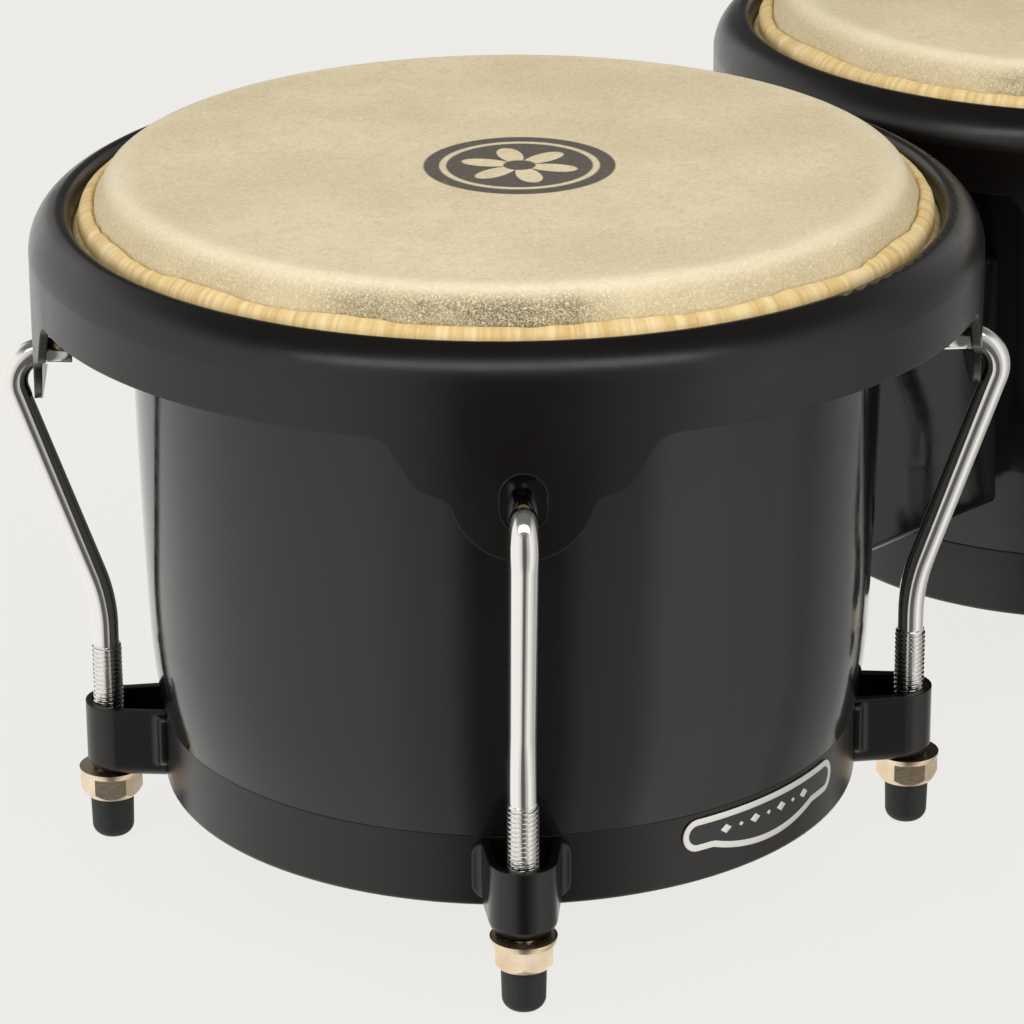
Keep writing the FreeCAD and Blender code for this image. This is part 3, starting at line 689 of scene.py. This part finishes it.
def make_camera():
    place = drum_place("hembra")[0]
    level = Vector((math.cos(VIEW_HEADING), math.sin(VIEW_HEADING), 0))
    ahead = level * math.cos(VIEW_DOWN) - Vector((0, 0, math.sin(VIEW_DOWN)))
    right = Vector((level.y, -level.x, 0))
    up = right.cross(ahead)
    turn = Matrix.Rotation(VIEW_ROLL, 3, ahead)
    right, up = turn @ right, turn @ up
    camera = bpy.data.objects.new("camera", bpy.data.cameras.new("camera"))
    camera.data.lens, camera.data.sensor_width = LENS, SENSOR
    camera.data.clip_start, camera.data.clip_end = 0.05, 50
    stand = place - Vector((math.cos(CAMERA_SIDE), math.sin(CAMERA_SIDE), 0)) * CAMERA_BACK
    axes = Matrix((right, up, -ahead)).transposed().to_4x4()
    camera.matrix_world = Matrix.Translation(stand + Vector((0, 0, CAMERA_UP))) @ axes
    bpy.context.scene.collection.objects.link(camera)
    bpy.context.scene.camera = camera


def make_floor():
    half = FLOOR_SIZE / 2
    corners = [(-half, -half, 0), (half, -half, 0), (half, half, 0), (-half, half, 0)]
    floor = make_object("floor", corners, [(0, 1, 2, 3)])
    n = Nodes("pale_floor")
    n.surface.inputs["Emission Strength"].default_value = FLOOR_GLOW
    floor.data.materials.append(n.finish(Base_Color=shade(0.035, 0.035, 0.034), Roughness=0.9,
                                         Emission_Color=shade(0.84, 0.832, 0.80)))
    floor.visible_glossy = False


SOFT_WHITE = (1.0, 0.985, 0.96, 1.0)


def make_world():
    """Soft walls of uneven brightness, under a dark ceiling that comes low behind the drums."""
    world = bpy.data.worlds.new("studio")
    world.use_nodes = True
    tree = world.node_tree
    tree.nodes.clear()

    def add(kind, **settings):
        made = tree.nodes.new(kind)
        for key, value in settings.items():
            setattr(made, key, value)
        return made
    direction = add("ShaderNodeTexCoord").outputs["Generated"]
    back = Vector((-math.cos(VIEW_HEADING), -math.sin(VIEW_HEADING), 0))
    side = Vector((-back.y, back.x, 0))

    def along(axis):
        dot = add("ShaderNodeVectorMath", operation="DOT_PRODUCT")
        tree.links.new(direction, dot.inputs[0])
        dot.inputs[1].default_value = axis
        return dot.outputs["Value"]
    angle = add("ShaderNodeMath", operation="ARCTAN2")
    tree.links.new(along(side), angle.inputs[0])
    tree.links.new(along(back), angle.inputs[1])
    turn = add("ShaderNodeMapRange")
    turn.inputs["From Min"].default_value, turn.inputs["From Max"].default_value = -math.pi, math.pi
    tree.links.new(angle.outputs[0], turn.inputs["Value"])
    ramp = add("ShaderNodeValToRGB")
    ramp.color_ramp.interpolation = "EASE"
    while len(ramp.color_ramp.elements) < len(WALLS):
        ramp.color_ramp.elements.new(0.5)
    for element, (degrees, level) in zip(ramp.color_ramp.elements, WALLS):
        element.position = (degrees + 180) / 360
        element.color = (level, level, level, 1)
    tree.links.new(turn.outputs[0], ramp.inputs[0])
    height = add("ShaderNodeMapRange", interpolation_type="SMOOTHSTEP")
    far_side = add("ShaderNodeMapRange", interpolation_type="SMOOTHSTEP")
    from_behind = add("ShaderNodeMath", operation="ABSOLUTE")
    tree.links.new(angle.outputs[0], from_behind.inputs[0])
    tree.links.new(from_behind.outputs[0], far_side.inputs["Value"])
    for name, value in zip(("From Min", "From Max", "To Min", "To Max"), WALL_TOP):
        far_side.inputs[name].default_value = value
    wall_end = add("ShaderNodeMath", operation="ADD")
    wall_end.inputs[1].default_value = WALL_FADE
    tree.links.new(far_side.outputs[0], wall_end.inputs[0])
    tree.links.new(far_side.outputs[0], height.inputs["From Min"])
    tree.links.new(wall_end.outputs[0], height.inputs["From Max"])
    tree.links.new(along((0, 0, 1)), height.inputs["Value"])
    mix = add("ShaderNodeMix", data_type="FLOAT")
    tree.links.new(height.outputs[0], mix.inputs[0])
    tree.links.new(ramp.outputs[0], mix.inputs[2])
    mix.inputs[3].default_value = CEILING
    background = add("ShaderNodeBackground")
    background.inputs["Color"].default_value = SOFT_WHITE
    tree.links.new(mix.outputs[0], background.inputs["Strength"])
    output = add("ShaderNodeOutputWorld")
    tree.links.new(background.outputs[0], output.inputs[0])
    bpy.context.scene.world = world


def soft_light(name, where, aim, size, watts, seen):
    """A rectangle of light; seen says whether it shows in glossy finishes."""
    light = bpy.data.objects.new(name, bpy.data.lights.new(name, "AREA"))
    light.data.shape, light.data.size, light.data.size_y = "RECTANGLE", *size
    light.data.energy = watts
    light.location = where
    light.visible_glossy = seen
    light.rotation_euler = (Vector(aim) - Vector(where)).to_track_quat("-Z", "Y").to_euler()
    bpy.context.scene.collection.objects.link(light)


def make_lights():
    soft_light("top_box", (0.0, 0.1, 1.6), (-0.05, 0, 0.1), (1.1, 1.1), 4, False)
    soft_light("front_strip", (-0.72, -0.61, 1.235), (-0.16, -0.05, 0.17), (2.2, 0.34), 7.5, True)
    soft_light("left_box", (-1.35, -0.3, 1.15), (0, 0, 0.1), (1.2, 1.0), 9, False)
    soft_light("right_box", (-0.1, -1.4, 1.15), (0, 0, 0.1), (1.2, 1.0), 9, False)


def main():
    bpy.context.scene.view_settings.view_transform = "Standard"
    for number, drum in enumerate(DRUMS):
        make_head(drum, 11 + 10 * number)
    make_rods()
    make_badge()
    dress_cad()
    make_floor()
    make_world()
    make_lights()
    make_camera()


main()
